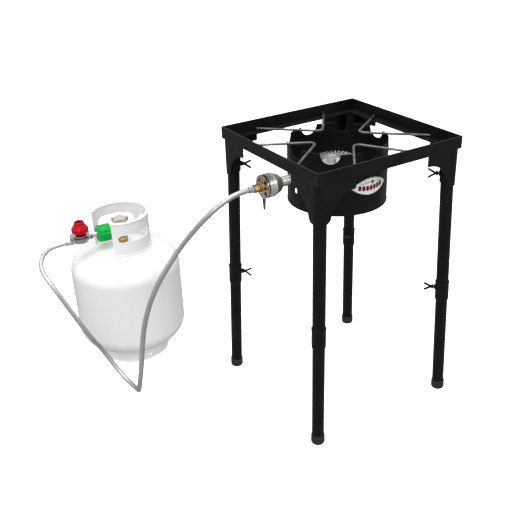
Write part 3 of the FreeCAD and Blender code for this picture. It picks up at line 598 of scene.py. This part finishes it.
BADGE_WIDE = 0.051
BADGE_HIGH = 0.0205
BADGE_LEVEL = 0.619
BADGE_TURN = math.radians(2.7)
GUARD_RADIUS = 0.124
BAR_COUNT = 7
FIRST_BAR = -0.0315  # across, from the badge's middle
BAR_PITCH = 0.0105
PRINT_PROUD = 0.0012  # the raised print's height off the guard


def leaf_edge(share, count=40):
    """Points round the leaf shape, scaled about its middle: (across, up) pairs."""
    reach = (BADGE_WIDE ** 2 + BADGE_HIGH ** 2) / (2 * BADGE_HIGH)
    half = math.asin(BADGE_WIDE / reach)
    made = []
    for sign in (1, -1):
        for i in range(count):
            angle = sign * half * (1 - 2 * i / count)
            across = reach * math.sin(-angle)
            up = sign * (reach * math.cos(angle) - (reach - BADGE_HIGH))
            made.append((share * across, share * up))
    return made


def on_guard(across, up, out):
    """A point on the front of the wind guard, a little proud of it."""
    angle = across / GUARD_RADIUS + BADGE_TURN
    radius = GUARD_RADIUS + out
    return STAND + Vector((radius * math.sin(angle), -radius * math.cos(angle), BADGE_LEVEL + up))


def plate_on_guard(name, strips, out, thickness=0.0005):
    """Thin plates that follow the wind guard's front: each a strip of (across, lowest, highest)."""
    rows = 6
    mesh = bmesh.new()
    for columns in strips:
        grids = []
        for depth in (out, out + thickness):
            grid = []
            for across, low, high in columns:
                heights = [low + (high - low) * j / rows for j in range(rows + 1)]
                grid.append([mesh.verts.new(on_guard(across, z, depth)) for z in heights])
            grids.append(grid)
        back, front = grids
        for i in range(len(columns) - 1):
            for j in range(rows):
                corners = (front[i][j], front[i + 1][j], front[i + 1][j + 1], front[i][j + 1])
                mesh.faces.new(corners).smooth = True
            for j in (0, rows):
                mesh.faces.new((front[i][j], front[i + 1][j], back[i + 1][j], back[i][j]))
        for i in (0, len(columns) - 1):
            for j in range(rows):
                mesh.faces.new((front[i][j], front[i][j + 1], back[i][j + 1], back[i][j]))
    bmesh.ops.remove_doubles(mesh, verts=mesh.verts, dist=0.00002)
    bmesh.ops.recalc_face_normals(mesh, faces=mesh.faces)
    data = bpy.data.meshes.new(name)
    mesh.to_mesh(data)
    mesh.free()
    return data


def badge_bar(middle, half_width, half_height):
    """An upright bar of the badge's row, its foot on the row's curve."""
    strip = []
    for i in range(5):
        share = i / 2 - 1
        across = middle + half_width * share
        level = -0.0040 + 3.4 * across * across
        reach = half_height * (1 - 0.35 * abs(share))
        strip.append((across, level - reach, level + reach))
    return strip


def make_badge():
    """A plain enamel badge: a bright rim, a row of deep red bars, a red diamond and grey lines."""
    rim = [on_guard(x, z, 0.0014) for x, z in leaf_edge(0.955)]
    data = bead_mesh("badge_rim", rim, 0.0011, closed=True, sides=8)
    add_piece("badge_rim", data, "set", "zinc", turned_metal("rim_bright", (0.6, 0.6, 0.6), 0.25, (1, 1, 4)))
    red = moulded_plastic("enamel_red", (0.17, 0.006, 0.012), 0.25)
    bars = [badge_bar(FIRST_BAR + BAR_PITCH * i, 0.0042, 0.0068) for i in range(BAR_COUNT)]
    add_piece("badge_bars", plate_on_guard("badge_bars", bars, PRINT_PROUD), "set", "badge", red)
    diamond = [(-0.001, 0.0098, 0.0100), (0.004, 0.0050, 0.0155), (0.009, 0.0098, 0.0100)]
    add_piece("badge_diamond", plate_on_guard("badge_diamond", [diamond], PRINT_PROUD), "set", "badge", red)
    grey = moulded_plastic("enamel_grey", (0.20, 0.17, 0.18), 0.3)
    lines = []
    for start, end in ((-0.030, -0.004), (0.012, 0.030)):
        line = []
        for i in range(13):
            across = start + (end - start) * i / 12
            middle = 0.0105 - 3.0 * across * across
            line.append((across, middle - 0.0007, middle + 0.0007))
        lines.append(line)
    add_piece("badge_lines", plate_on_guard("badge_lines", lines, PRINT_PROUD), "set", "badge", grey)


make_grate_welds()
make_badge()

# ---------------------------------------------------------------- floor, light and world


def make_floor():
    mesh = bmesh.new()
    bmesh.ops.create_grid(mesh, x_segments=8, y_segments=8, size=14)
    data = bpy.data.meshes.new("floor")
    mesh.to_mesh(data)
    mesh.free()
    floor = add_object("floor", data)
    made = Nodes("floor_white", (0.93, 0.93, 0.93), 0.9)
    made.shader.inputs["Specular IOR Level"].default_value = 0.05
    made.shader.inputs["Emission Color"].default_value = (1, 1, 1, 1)
    made.shader.inputs["Emission Strength"].default_value = 0.75
    data.materials.append(made.material)
    floor.visible_diffuse = False
    floor.visible_glossy = False


def area_light(name, place, target, size, energy):
    data = bpy.data.lights.new(name, "AREA")
    data.shape = "RECTANGLE"
    data.size, data.size_y = size
    data.energy = energy
    light = add_object(name, data)
    light.location = place
    toward = (Vector(target) - Vector(place)).normalized()
    light.rotation_mode = "QUATERNION"
    light.rotation_quaternion = toward.to_track_quat("-Z", "Y")


def world_ramp(tree, value, dark, bright):
    """Grey levels between two (value, level) stops."""
    spread = tree.nodes.new("ShaderNodeMapRange")
    tree.links.new(value, spread.inputs["Value"])
    spread.inputs["From Min"].default_value, spread.inputs["To Min"].default_value = dark
    spread.inputs["From Max"].default_value, spread.inputs["To Max"].default_value = bright
    return spread.outputs["Result"]


def world_math(tree, operation, first, second):
    node = tree.nodes.new("ShaderNodeMath")
    node.operation = operation
    for socket, value in zip(node.inputs, (first, second)):
        if isinstance(value, float):
            socket.default_value = value
        else:
            tree.links.new(value, socket)
    return node.outputs[0]


def make_world():
    """A white studio, brightest overhead and in front of the set, dimmer behind it and below."""
    world = bpy.data.worlds.new("studio")
    world.use_nodes = True
    tree = world.node_tree
    split = tree.nodes.new("ShaderNodeSeparateXYZ")
    tree.links.new(tree.nodes.new("ShaderNodeTexCoord").outputs["Generated"], split.inputs[0])
    height = world_ramp(tree, split.outputs["Z"], (-0.30, 0.48), (0.35, 1.20))
    behind = world_math(
        tree,
        "ADD",
        world_math(tree, "MULTIPLY", split.outputs["X"], 0.60),
        world_math(tree, "MULTIPLY", split.outputs["Y"], 0.80),
    )
    side = world_ramp(tree, behind, (0.45, 0.82), (-0.35, 1.06))
    sky = tree.nodes["Background"]
    sky.inputs["Color"].default_value = (1, 1, 1, 1)
    tree.links.new(world_math(tree, "MULTIPLY", height, side), sky.inputs["Strength"])
    scene.world = world


def make_lights():
    middle = STAND + Vector((-0.2, 0.1, 0.4))
    area_light("key", STAND + Vector((-2.2, -1.6, 2.6)), middle, (0.9, 0.7), 18)
    area_light("fill", STAND + Vector((1.9, -2.2, 2.2)), middle, (1.0, 1.0), 18)
    area_light("top", STAND + Vector((-0.3, 0.3, 3.2)), middle, (2.4, 2.0), 50)


make_floor()
make_world()
make_lights()
scene.view_settings.view_transform = "Standard"
